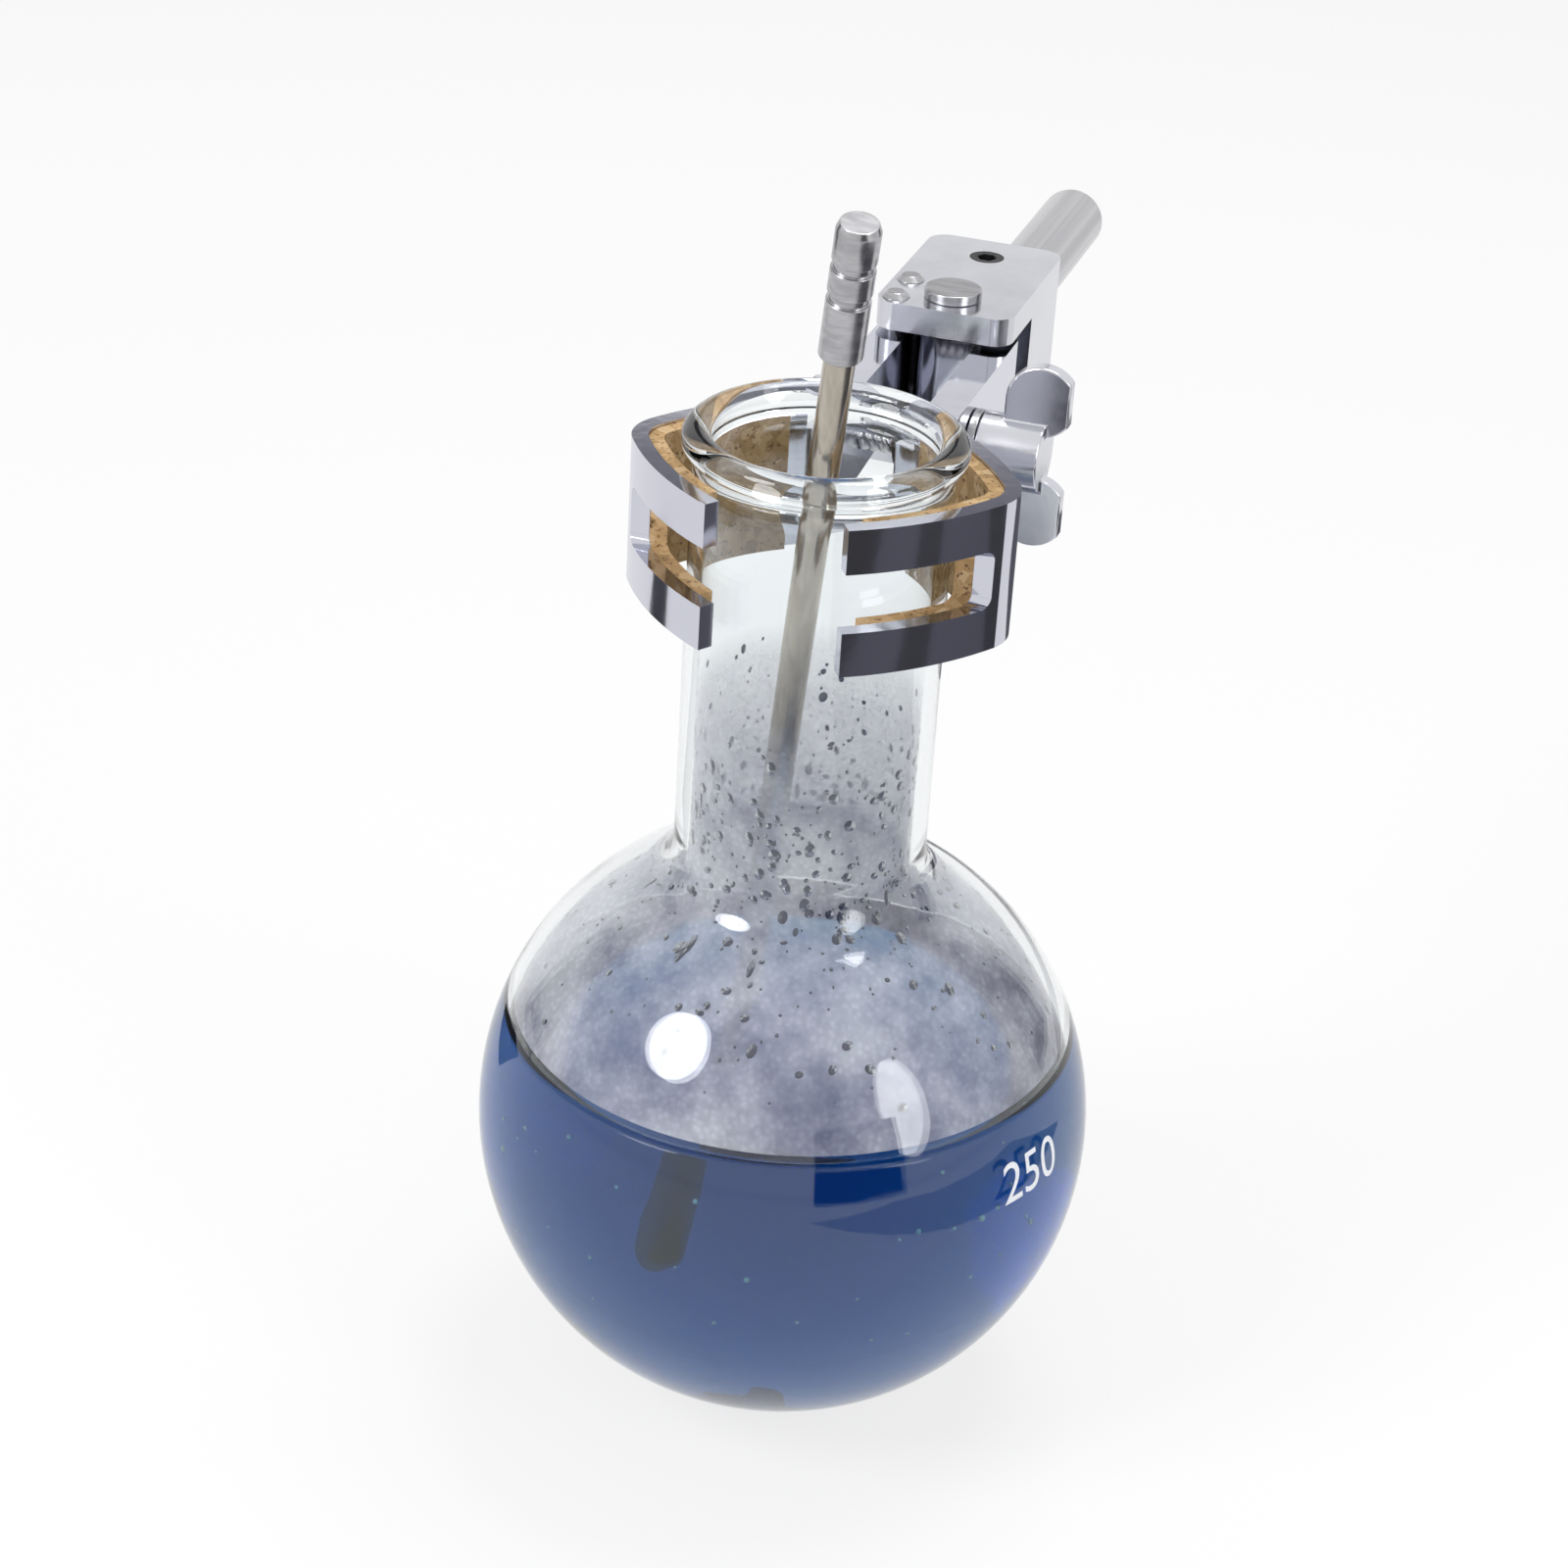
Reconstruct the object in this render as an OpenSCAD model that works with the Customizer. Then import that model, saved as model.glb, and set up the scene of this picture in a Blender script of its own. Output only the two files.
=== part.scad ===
// Round bottom flask with its solution, stirring bar, temperature probe and neck clamp.
// The flask stands upright on the Z axis, with the lowest point of the bulb at the origin.
// The clamp reaches back along +Y to the rod that a stand's boss head holds.

/* [Flask] */
// Outside diameter of the bulb
bulb_d = 85; // [70:1:105]
// Outside diameter of the neck
neck_d = 34; // [28:1:40]
// Height from the bottom of the bulb to the top of the rim
flask_h = 145; // [125:1:180]
// Glass thickness
glass_t = 2; // [1.5:0.1:2.5]
// Radius of the glass bead that rounds the rim
rim_bead_r = 2; // [1.5:0.1:3]
// Radius of the blend between bulb and neck
shoulder_r = 8; // [5:1:12]

/* [Solution] */
// Height of the solution above the middle of the bulb
fill_above_middle = 14.5; // [5:0.5:20]

/* [Stirring bar] */
// Length of the bar over its round ends
bar_len = 25; // [20:1:30]
// Diameter of the bar's jacket
bar_d = 8; // [6:0.5:9]
// Diameter of the pivot ring around the middle of the bar
bar_ring_d = 9.6; // [8:0.2:10]
// Length of the magnet in the bar
magnet_len = 17; // [12:1:20]
// Diameter of the magnet
magnet_d = 5; // [3:0.5:6]

/* [Temperature probe] */
// Diameter of the steel sheath
probe_d = 4; // [3:0.5:5]
// Length of sheath that stands out past the rim, along its own axis
probe_out = 25.34; // [12:0.5:80]
// Lean of the probe from upright, in degrees
probe_lean = 15.5; // [10:0.5:18]
// Place on the rim that the probe leans on, in degrees about Z
probe_rim_angle = -75; // [-90:1:-60]
// Direction in which the probe runs down into the bulb, in degrees about Z
probe_heading = 120; // [105:1:135]
// Wall of the steel sheath
sheath_t = 0.5; // [0.3:0.1:0.8]
// Length of the sensing element in the tip
sensor_len = 12; // [8:1:20]
// Diameter of the sleeve that is crimped on the top of the sheath
sleeve_d = 5.6; // [5:0.2:8]
// Length of the crimped sleeve
sleeve_len = 18; // [12:1:30]

/* [Clamp jaws] */
// Height of the jaw plates
jaw_h = 20; // [16:1:26]
// Distance from the underside of the rim's bead down to the top of the jaws
jaw_drop = 0.5; // [0.3:0.1:6]
// Thickness of the jaw metal
jaw_t = 2.2; // [1.8:0.1:3]
// Height of each finger above and below the slot
finger_h = 6; // [5:0.5:8]
// Thickness of the cork
cork_t = 2; // [1.5:0.1:3]
// Inside radius of the bend at the corner of a jaw
corner_r = 5; // [4:0.5:8]
// Turn of the corner to each side, in degrees
corner_turn = 30; // [25:1:35]
// Radius of the slightly curved legs of a jaw
leg_r = 45; // [40:1:60]
// Turn of each leg, in degrees
leg_turn = 27.5; // [24:0.5:32]

/* [Clamp arms and hub] */
// Thickness of an arm
arm_t = 5; // [4:0.5:6]
// Height of an arm
arm_h = 14; // [12:1:16]
// Gap between the two arms
arm_gap = 10; // [9:0.5:14]
// Distance from the flask's axis to the jaw pivot
pivot_y = 60; // [56:1:80]
// Diameter of the pivot pin
pivot_pin_d = 5; // [4:0.5:6]
// Thickness of each ear of the hub
ear_t = 4; // [3:0.5:6]
// Length of the hub's solid block behind the ears
hub_block_len = 18; // [16:1:26]

/* [Clamp rod] */
// Diameter of the rod
rod_d = 10; // [8:1:13]
// Length of the rod
rod_len = 64; // [50:1:150]
// Depth of the rod's spigot in the hub
rod_seat = 14; // [12:1:15]
// Step from the rod down to its spigot, on the radius
rod_step = 1; // [0.5:0.1:1.5]

/* [Clamp screw] */
// Distance from the flask's axis to the clamp screw
screw_y = 37; // [35:1:40]
// Diameter of the clamp screw
screw_d = 6; // [5:0.5:6]
// Diameter of the thrust washer
washer_d = 10; // [9:0.5:11]
// Thickness of the thrust washer
washer_t = 1.2; // [1:0.1:2]
// Reach of each wing from the middle of the screw
wing_reach = 13; // [11:0.5:14]
// Largest angle to which the moving jaw opens, in degrees
jaw_open_max = 14; // [8:1:14]

/* [Hidden] */

$fn = 96;
seat_gap = 0.3;    // between a moving piece and what it rests on
slot_gap = 0.4;    // around the screw in the slot of the moving arm
slip_gap = 0.1;    // beside a face that slides or turns
press_gap = 0.02;  // around a pressed or threaded piece
run_gap = 0.06;    // around a turning pin
film_gap = 0.1;    // between solution and glass
glue_gap = 0.05;   // between cork and metal
far = 400;         // longer than anything in the model

// flask
bulb_r = bulb_d / 2;
bulb_in_r = bulb_r - glass_t;
neck_r = neck_d / 2;
bead_ring_r = neck_r - rim_bead_r / 4;   // the bead stands out on both sides of the wall
bead_z = flask_h - rim_bead_r;
blend_x = neck_r + shoulder_r;
blend_z = bulb_r + sqrt(pow(bulb_r + shoulder_r, 2) - pow(blend_x, 2));
fill_z = bulb_r + fill_above_middle;

// stirring bar
bar_r = bar_d / 2;
bar_end_x = bar_len / 2 - bar_r;
bar_ring_len = 2.4;
bar_z = bulb_r - sqrt(pow(bulb_in_r - bar_r - seat_gap, 2) - pow(bar_end_x, 2));

// probe: its axis passes the rim at probe_rim_p and its tip stops at the wall of the bulb
probe_r = probe_d / 2;
probe_rim_r = bead_ring_r - (rim_bead_r + probe_r + seat_gap) / cos(probe_lean);
probe_rim_p = [probe_rim_r * cos(probe_rim_angle), probe_rim_r * sin(probe_rim_angle), bead_z];
probe_dir = [sin(probe_lean) * cos(probe_heading), sin(probe_lean) * sin(probe_heading), -cos(probe_lean)];
rim_from_middle = probe_rim_p - [0, 0, bulb_r];
along = rim_from_middle * probe_dir;
tip_reach_r = bulb_in_r - probe_r - seat_gap;
tip_s = -along + sqrt(along * along - rim_from_middle * rim_from_middle + tip_reach_r * tip_reach_r);
probe_tip_p = probe_rim_p + tip_s * probe_dir;
probe_len = tip_s + probe_out;
sheath_in_r = probe_r - sheath_t;
core_r = sheath_in_r - press_gap;
core_gap = 0.3;
sleeve_lap = 6;
core_in_sleeve = sleeve_len / 3;
crimp_depth = 0.4;
crimp_len = 1.2;

// jaws, in plan: a corner arc about [corner_x, 0] and a leg arc about [leg_x, +-leg_y]
jaw_face_r = neck_r + seat_gap + cork_t + glue_gap;
leg_y = (leg_r - corner_r) * sin(corner_turn);
leg_x = -sqrt(pow(leg_r - jaw_face_r, 2) - pow(leg_y, 2));
corner_x = leg_x + (leg_r - corner_r) * cos(corner_turn);
leg_end = corner_turn + leg_turn;
jaw_top_z = flask_h - 2 * rim_bead_r - jaw_drop;
jaw_bottom_z = jaw_top_z - jaw_h;
clamp_z = jaw_top_z - jaw_h / 2;
slot_h = jaw_h - 2 * finger_h;
slot_end_y = -4.5;
slot_corner_r = 1.5;
lap_turn = 0.4;            // the legs run this many degrees into the corner
cork_end_turn = 4;        // the cork stops this many degrees before the finger tip
cork_side = 0.4;          // the metal stands this far above and below the cork

// arms and hub
arm_x0 = arm_gap / 2;
arm_x1 = arm_x0 + arm_t;
arm_y0 = (leg_r + jaw_t) * sin(leg_end) - leg_y - jaw_t;
eye_gap = 0.4;            // between the eye and the other arm
eye_r = arm_gap / 2 - eye_gap;
ear_gap = 0.8;            // between an arm and an ear, filled by a washer
ear_margin = 1.5;
ear_z = arm_h / 2 + ear_gap;
hub_front_y = pivot_y - eye_r - ear_margin;
hub_block_y = pivot_y + arm_x1 * sin(jaw_open_max) + arm_x1 / 2;
hub_back_y = hub_block_y + hub_block_len;
hub_round = 3;
pin_r = pivot_pin_d / 2;
pin_head_t = 1.5;
pin_head_r = pin_r + 1.6;
clip_t = 1;
clip_r = pin_r + 1.4;
clip_groove_r = pin_r - 0.5;
clip_mouth = 0.7;         // half of the clip's mouth, as a share of the pin's radius
ear_top = ear_z + ear_t;  // half of the hub's height
rivet_x = -(arm_x0 + arm_x1) / 2;
rivet_r = 1.25;
rivet_head_r = 2.1;
rivet_head_t = 0.8;
rivet_inset = 3;
set_screw_r = 2.5;
set_screw_hex_d = 2.9;
set_screw_hex_depth = 2.5;
rod_chamfer = 0.8;
spigot_r = rod_d / 2 - rod_step;

// clamp screw
screw_r = screw_d / 2;
screw_lever = pivot_y - screw_y;
boss_wall = 2.8;
boss_r = screw_r + boss_wall;
boss_len = 3;
screw_tip = 3;
slot_shift = arm_x1 * tan(jaw_open_max) + screw_lever * (1 / cos(jaw_open_max) - 1);
wing_hub_r = 5;
wing_hub_len = 9;
wing_t = 2.4;
wing_tip_r = 5;
wing_low = screw_r - 0.5;
wing_skirt = 3;           // bare length of the wing's hub below the wings
screw_cap = 2;            // closed length at the end of the wing's hub
washer_x = arm_x1 + slip_gap;
wing_x = washer_x + washer_t + slip_gap;
ring_r = 4.2;
ring_t = 1;
ring_x = 1;

// ---------- helpers ----------

// ring sector between two angles, less than a half turn wide
module ring_sector(r_in, r_out, a0, a1) {
    reach = 2 * r_out;
    intersection() {
        difference() {
            circle(r_out);
            circle(r_in);
        }
        polygon([[0, 0], reach * [cos(a0), sin(a0)], reach * [cos((a0 + a1) / 2), sin((a0 + a1) / 2)],
            reach * [cos(a1), sin(a1)]]);
    }
}

// rectangle in plan with four round corners
module rounded_plan(x0, x1, y0, y1, r) {
    translate([x0 + r, y0]) square([x1 - x0 - 2 * r, y1 - y0]);
    translate([x0, y0 + r]) square([x1 - x0, y1 - y0 - 2 * r]);
    for (x = [x0 + r, x1 - r], y = [y0 + r, y1 - r]) translate([x, y]) circle(r);
}

// places its children on the probe's axis, with +Z running up from the tip's centre
module on_probe() {
    translate(probe_tip_p) rotate([0, 0, probe_heading]) rotate([0, -probe_lean, 0]) children();
}

// places its children on the clamp screw's axis, with +Z running out along +X
module on_screw() {
    translate([0, screw_y, clamp_z]) rotate([0, 90, 0]) children();
}

// ---------- flask and what it holds ----------

// bulb, blend and neck as one solid, moved in from the outside by inset
module flask_form(inset, top_z) {
    translate([0, 0, bulb_r]) sphere(bulb_r - inset);
    translate([0, 0, bulb_r]) cylinder(r = neck_r - inset, h = top_z - bulb_r);
    rotate_extrude() difference() {
        polygon([[0, bulb_r], [0, blend_z], [blend_x, blend_z]]);
        translate([blend_x, blend_z]) circle(shoulder_r + inset);
    }
}

module flask_glass() {
    color("lightcyan", 0.4) {
        difference() {
            flask_form(0, bead_z);
            flask_form(glass_t, far / 2);
        }
        rotate_extrude() translate([bead_ring_r, bead_z]) circle(rim_bead_r);
    }
}

module solution() {
    sweep_r = bar_len / 2 + seat_gap;
    sweep_top = bar_z + bar_ring_d / 2 + seat_gap;
    color("mediumblue", 0.7) difference() {
        rotate_extrude() intersection() {
            translate([0, bulb_r]) circle(bulb_in_r - film_gap);
            square([bulb_r, fill_z]);
        }
        translate([0, 0, -1]) cylinder(r = sweep_r, h = sweep_top + 1);
        on_probe() translate([0, 0, -2 * probe_d]) cylinder(r = probe_r + seat_gap, h = far / 2);
    }
}

module stir_bar_jacket() {
    color("white") translate([0, 0, bar_z]) rotate([0, 90, 0]) difference() {
        union() {
            cylinder(r = bar_r, h = 2 * bar_end_x, center = true);
            for (s = [-1, 1]) translate([0, 0, s * bar_end_x]) sphere(bar_r);
            cylinder(d = bar_ring_d, h = bar_ring_len, center = true);
        }
        cylinder(d = magnet_d + 2 * press_gap, h = magnet_len + 2 * press_gap, center = true);
    }
}

module stir_bar_magnet() {
    color("dimgray") translate([0, 0, bar_z]) rotate([0, 90, 0])
        cylinder(d = magnet_d, h = magnet_len, center = true);
}

// ---------- temperature probe ----------

module probe_sheath() {
    color("silver") on_probe() difference() {
        union() {
            cylinder(r = probe_r, h = probe_len);
            sphere(probe_r);
        }
        cylinder(r = sheath_in_r, h = probe_len + 1);
    }
}

module probe_sensor() {
    color("ivory") on_probe() translate([0, 0, core_gap])
        cylinder(r = core_r, h = sensor_len);
}

module probe_core() {
    core_z = core_gap + sensor_len + core_gap;
    color("tan") on_probe() translate([0, 0, core_z])
        cylinder(r = core_r, h = probe_len + core_in_sleeve - core_z);
}

module probe_sleeve() {
    crimp_r = sleeve_d / 2 - crimp_depth;
    color("gray") on_probe() translate([0, 0, probe_len - sleeve_lap]) difference() {
        union() {
            cylinder(d = sleeve_d, h = sleeve_len);
            translate([0, 0, sleeve_len]) cylinder(r1 = sleeve_d / 2, r2 = crimp_r, h = 1);
        }
        translate([0, 0, -1]) cylinder(r = probe_r + press_gap, h = sleeve_lap + 1 + press_gap);
        cylinder(r = core_r + press_gap, h = sleeve_lap + core_in_sleeve + press_gap);
        for (z = [0.45, 0.7]) translate([0, 0, sleeve_len * z]) difference() {
            cylinder(d = sleeve_d + 1, h = crimp_len);
            cylinder(r = crimp_r, h = crimp_len);
        }
    }
}

// ---------- clamp ----------

// bent strip of height h on the +X side, shift outside the metal's inner face and t thick
module jaw_strip(shift, t, turn, h) {
    linear_extrude(h) translate([corner_x, 0])
        ring_sector(corner_r + shift, corner_r + shift + t, -corner_turn, corner_turn);
    linear_extrude(h) translate([leg_x, leg_y])
        ring_sector(leg_r + shift, leg_r + shift + t, -corner_turn - turn, -corner_turn + lap_turn);
    linear_extrude(h) translate([leg_x, -leg_y])
        ring_sector(leg_r + shift, leg_r + shift + t, corner_turn - lap_turn, corner_turn + turn);
}

// the open slot between the two fingers, with small round corners at its end
module finger_slot() {
    translate([0, 0, clamp_z]) rotate([90, 0, 90]) linear_extrude(far / 2)
        rounded_plan(slot_end_y - far / 2, slot_end_y, -slot_h / 2, slot_h / 2, slot_corner_r);
}

// plate with two fingers and the arm up to y1, on the +X side
module jaw_with_arm(y1) {
    difference() {
        translate([0, 0, jaw_bottom_z]) jaw_strip(0, jaw_t, leg_turn, jaw_h);
        finger_slot();
    }
    translate([arm_x0, arm_y0, clamp_z - arm_h / 2]) cube([arm_t, y1 - arm_y0, arm_h]);
}

module cork_liner() {
    difference() {
        translate([0, 0, jaw_bottom_z + cork_side])
            jaw_strip(-cork_t - glue_gap, cork_t, leg_turn - cork_end_turn, jaw_h - 2 * cork_side);
        finger_slot();
    }
}

module left_jaw() {
    color("silver") difference() {
        union() {
            mirror([1, 0, 0]) jaw_with_arm(hub_block_y - press_gap);
            on_screw() translate([0, 0, -arm_x1 - boss_len]) cylinder(r = boss_r, h = boss_len + arm_t / 2);
        }
        on_screw() translate([0, 0, -far / 2]) cylinder(r = screw_r + run_gap, h = far / 2);
        for (y = rivet_ys()) translate([rivet_x, y, jaw_bottom_z - 1])
            cylinder(r = rivet_r + press_gap, h = jaw_h + 2);
    }
}

module left_cork() {
    color("peru") mirror([1, 0, 0]) cork_liner();
}

module right_jaw() {
    color("silver") difference() {
        union() {
            jaw_with_arm(pivot_y);
            translate([0, pivot_y - eye_r, clamp_z - arm_h / 2]) cube([arm_x1, eye_r, arm_h]);
            translate([0, pivot_y, clamp_z - arm_h / 2]) cylinder(r = eye_r, h = arm_h);
        }
        translate([0, pivot_y, jaw_bottom_z - 1]) cylinder(r = pin_r + run_gap, h = jaw_h + 2);
        for (y = [screw_y, screw_y - slot_shift]) translate([0, y, clamp_z]) rotate([0, 90, 0])
            cylinder(r = screw_r + slot_gap, h = far / 2);
        translate([0, screw_y - slot_shift, clamp_z - screw_r - slot_gap])
            cube([far / 2, slot_shift, 2 * (screw_r + slot_gap)]);
    }
}

module right_cork() {
    color("peru") cork_liner();
}

function rivet_ys() = [hub_front_y + rivet_inset, hub_block_y - rivet_inset];

module clamp_hub() {
    color("lightgray") difference() {
        translate([0, 0, clamp_z - ear_z - ear_t]) linear_extrude(2 * (ear_z + ear_t))
            rounded_plan(-arm_x1, arm_x1, hub_front_y, hub_back_y, hub_round);
        translate([-far / 2, hub_block_y - far, clamp_z - ear_z]) cube([far, far, 2 * ear_z]);
        translate([0, pivot_y, 0]) cylinder(r = pin_r + press_gap, h = far);
        for (y = rivet_ys()) translate([rivet_x, y, 0]) cylinder(r = rivet_r + press_gap, h = far);
        translate([0, hub_back_y - rod_seat, clamp_z]) rotate([-90, 0, 0])
            cylinder(r = spigot_r + press_gap, h = far);
        translate([0, hub_back_y - rod_seat / 2, clamp_z]) cylinder(r = set_screw_r + press_gap, h = far);
    }
}

module clamp_rod() {
    free_len = rod_len - rod_seat;
    color("silver") translate([0, hub_back_y, clamp_z]) rotate([-90, 0, 0]) {
        translate([0, 0, press_gap - rod_seat]) cylinder(r = spigot_r, h = rod_seat);
        translate([0, 0, press_gap]) cylinder(d = rod_d, h = free_len - rod_chamfer);
        translate([0, 0, press_gap + free_len - rod_chamfer])
            cylinder(d1 = rod_d, d2 = rod_d - 2 * rod_chamfer, h = rod_chamfer);
    }
}

module rod_set_screw() {
    screw_len = ear_top - spigot_r - press_gap;
    color("dimgray") translate([0, hub_back_y - rod_seat / 2, clamp_z + ear_top - screw_len]) difference() {
        cylinder(r = set_screw_r, h = screw_len);
        translate([0, 0, screw_len - set_screw_hex_depth])
            cylinder(d = set_screw_hex_d, h = set_screw_hex_depth + 1, $fn = 6);
    }
}

module jaw_rivets() {
    color("gray") for (y = rivet_ys()) translate([rivet_x, y, clamp_z]) {
        cylinder(r = rivet_r, h = 2 * ear_top, center = true);
        translate([0, 0, ear_top]) cylinder(r1 = rivet_head_r, r2 = rivet_r, h = rivet_head_t);
        translate([0, 0, -ear_top - rivet_head_t])
            cylinder(r1 = rivet_r, r2 = rivet_head_r, h = rivet_head_t);
    }
}

// the pin's head is above the hub, and a groove below the hub holds the clip
module pivot_pin() {
    groove_h = clip_t + slip_gap;
    color("gray") translate([0, pivot_y, clamp_z]) difference() {
        union() {
            translate([0, 0, -ear_top - clip_t - 1]) cylinder(r = pin_r, h = 2 * ear_top + clip_t + 1);
            translate([0, 0, ear_top]) cylinder(r = pin_head_r, h = pin_head_t);
        }
        translate([0, 0, -ear_top - groove_h]) difference() {
            cylinder(r = pin_r + 1, h = groove_h);
            cylinder(r = clip_groove_r, h = groove_h);
        }
    }
}

module pivot_washers() {
    t = ear_gap - 2 * slip_gap;
    color("white") for (z = [arm_h / 2 + slip_gap, -arm_h / 2 - slip_gap - t])
        translate([0, pivot_y, clamp_z + z]) difference() {
            cylinder(r = eye_r - slip_gap, h = t);
            translate([0, 0, -1]) cylinder(r = pin_r + run_gap, h = t + 2);
        }
}

module pivot_clip() {
    mouth = 2 * pin_r * clip_mouth;
    color("dimgray") translate([0, pivot_y, clamp_z - ear_top - clip_t]) difference() {
        cylinder(r = clip_r, h = clip_t - slip_gap / 2);
        translate([0, 0, -1]) cylinder(r = clip_groove_r + press_gap, h = clip_t + 2);
        translate([-mouth / 2, -far / 2, -1]) cube([mouth, far / 2, clip_t + 2]);
    }
}

module clamp_screw() {
    color("gray") on_screw() translate([0, 0, -arm_x1 - boss_len - screw_tip])
        cylinder(r = screw_r, h = arm_x1 + boss_len + screw_tip + wing_x + wing_hub_len - screw_cap);
}

// outline of the two wings, cut from a plate wing_t thick
module wing_plate() {
    tip_x = wing_reach - wing_tip_r;
    intersection() {
        translate([-wing_reach, -wing_t / 2, wing_skirt]) cube([2 * wing_reach, wing_t, wing_hub_len]);
        union() {
            for (s = [-1, 1]) translate([s * tip_x, 0, wing_hub_len - 1]) rotate([90, 0, 0])
                cylinder(r = wing_tip_r, h = wing_t + 1, center = true);
            translate([-tip_x, -wing_t, wing_low]) cube([2 * tip_x, 2 * wing_t, wing_hub_len - wing_skirt]);
        }
    }
}

module screw_wing() {
    color("silver") on_screw() translate([0, 0, wing_x]) difference() {
        union() {
            cylinder(r = wing_hub_r, h = wing_hub_len);
            wing_plate();
        }
        translate([0, 0, -1])
            cylinder(r = screw_r + press_gap, h = wing_hub_len - screw_cap + 1 + press_gap);
    }
}

module thrust_washer() {
    color("lightgray") on_screw() translate([0, 0, washer_x]) difference() {
        cylinder(d = washer_d, h = washer_t);
        translate([0, 0, -1]) cylinder(r = screw_r + run_gap, h = washer_t + 2);
    }
}

module retaining_ring() {
    color("dimgray") on_screw() translate([0, 0, ring_x]) difference() {
        cylinder(r = ring_r, h = ring_t);
        translate([0, 0, -1]) cylinder(r = screw_r + press_gap, h = ring_t + 2);
    }
}

flask_glass();
solution();
stir_bar_jacket();
stir_bar_magnet();
probe_sheath();
probe_sensor();
probe_core();
probe_sleeve();
left_jaw();
left_cork();
right_jaw();
right_cork();
clamp_hub();
clamp_rod();
rod_set_screw();
jaw_rivets();
pivot_pin();
pivot_washers();
pivot_clip();
clamp_screw();
screw_wing();
thrust_washer();
retaining_ring();
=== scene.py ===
import math
import random

import bmesh
import bpy
from mathutils import Matrix, Vector, noise


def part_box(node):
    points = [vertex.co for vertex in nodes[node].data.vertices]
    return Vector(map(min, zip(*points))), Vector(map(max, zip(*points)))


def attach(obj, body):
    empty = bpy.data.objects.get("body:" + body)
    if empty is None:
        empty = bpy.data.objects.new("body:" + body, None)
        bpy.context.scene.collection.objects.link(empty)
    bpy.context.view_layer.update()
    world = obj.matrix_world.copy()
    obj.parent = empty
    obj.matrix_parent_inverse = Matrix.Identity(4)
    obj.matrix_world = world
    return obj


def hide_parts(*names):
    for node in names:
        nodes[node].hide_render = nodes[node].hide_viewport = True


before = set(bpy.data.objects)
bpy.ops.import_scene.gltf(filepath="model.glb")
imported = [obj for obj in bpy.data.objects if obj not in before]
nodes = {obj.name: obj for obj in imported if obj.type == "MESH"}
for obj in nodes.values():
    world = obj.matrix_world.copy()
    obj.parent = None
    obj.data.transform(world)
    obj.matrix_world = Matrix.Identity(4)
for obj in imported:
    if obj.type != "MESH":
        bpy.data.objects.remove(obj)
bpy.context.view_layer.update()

mm = 0.001
rng = random.Random(25)


# small helpers

def srgb(hexText, alpha=1.0):
    channels = [int(hexText[i:i + 2], 16) / 255 for i in (1, 3, 5)]
    linear = [c / 12.92 if c <= 0.04045 else ((c + 0.055) / 1.055) ** 2.4 for c in channels]
    return (*linear, alpha)


def grey(level):
    return (level, level, level, 1)


def addNode(tree, kind, settings=None, links=None):  # one node, its values, and what feeds it
    node = tree.nodes.new(kind)
    for key, value in (settings or {}).items():
        if isinstance(key, str) and hasattr(node, key):
            setattr(node, key, value)
        else:
            node.inputs[key].default_value = value
    for key, socket in (links or {}).items():
        tree.links.new(socket, node.inputs[key])
    return node


def newMaterial(name):
    material = bpy.data.materials.new(name)
    material.use_nodes = True
    tree = material.node_tree
    return material, tree, tree.nodes["Principled BSDF"]


def surfacePattern(tree, kind, scale, stretch=(1, 1, 1), **settings):  # in the part's own coordinates
    coords = addNode(tree, "ShaderNodeTexCoord")
    place = addNode(tree, "ShaderNodeMapping", {"Scale": stretch}, {"Vector": coords.outputs["Object"]})
    return addNode(tree, kind, {"Scale": scale, **settings}, {"Vector": place.outputs["Vector"]})


def product(tree, first, second):
    node = addNode(tree, "ShaderNodeMath", {"operation": "MULTIPLY"}, {0: first, 1: second})
    return node.outputs[0]


def ramp(tree, source, stops):
    node = addNode(tree, "ShaderNodeValToRGB", links={"Fac": source})
    band = node.color_ramp
    while len(band.elements) < len(stops):
        band.elements.new(0.5)
    for element, (position, color) in zip(band.elements, stops):
        element.position = position
        element.color = color
    return node


def bump(tree, shader, height, strength, distance):
    node = addNode(tree, "ShaderNodeBump", {"Strength": strength, "Distance": distance}, {"Height": height})
    tree.links.new(node.outputs["Normal"], shader.inputs["Normal"])
    return node


def roughnessFrom(tree, shader, source, low, high):
    node = addNode(tree, "ShaderNodeMapRange", {"To Min": low, "To Max": high}, {"Value": source})
    tree.links.new(node.outputs["Result"], shader.inputs["Roughness"])


def setShader(shader, **values):
    for name, value in values.items():
        shader.inputs[name.replace("_", " ")].default_value = value


def meshPiece(name, vertices, faces, material, body, smooth=True):
    mesh = bpy.data.meshes.new(name)
    mesh.from_pydata(vertices, [], faces)
    mesh.update()
    mesh.polygons.foreach_set("use_smooth", [smooth] * len(mesh.polygons))
    piece = bpy.data.objects.new(name, mesh)
    bpy.context.collection.objects.link(piece)
    mesh.materials.append(material)
    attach(piece, body)
    return piece


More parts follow.
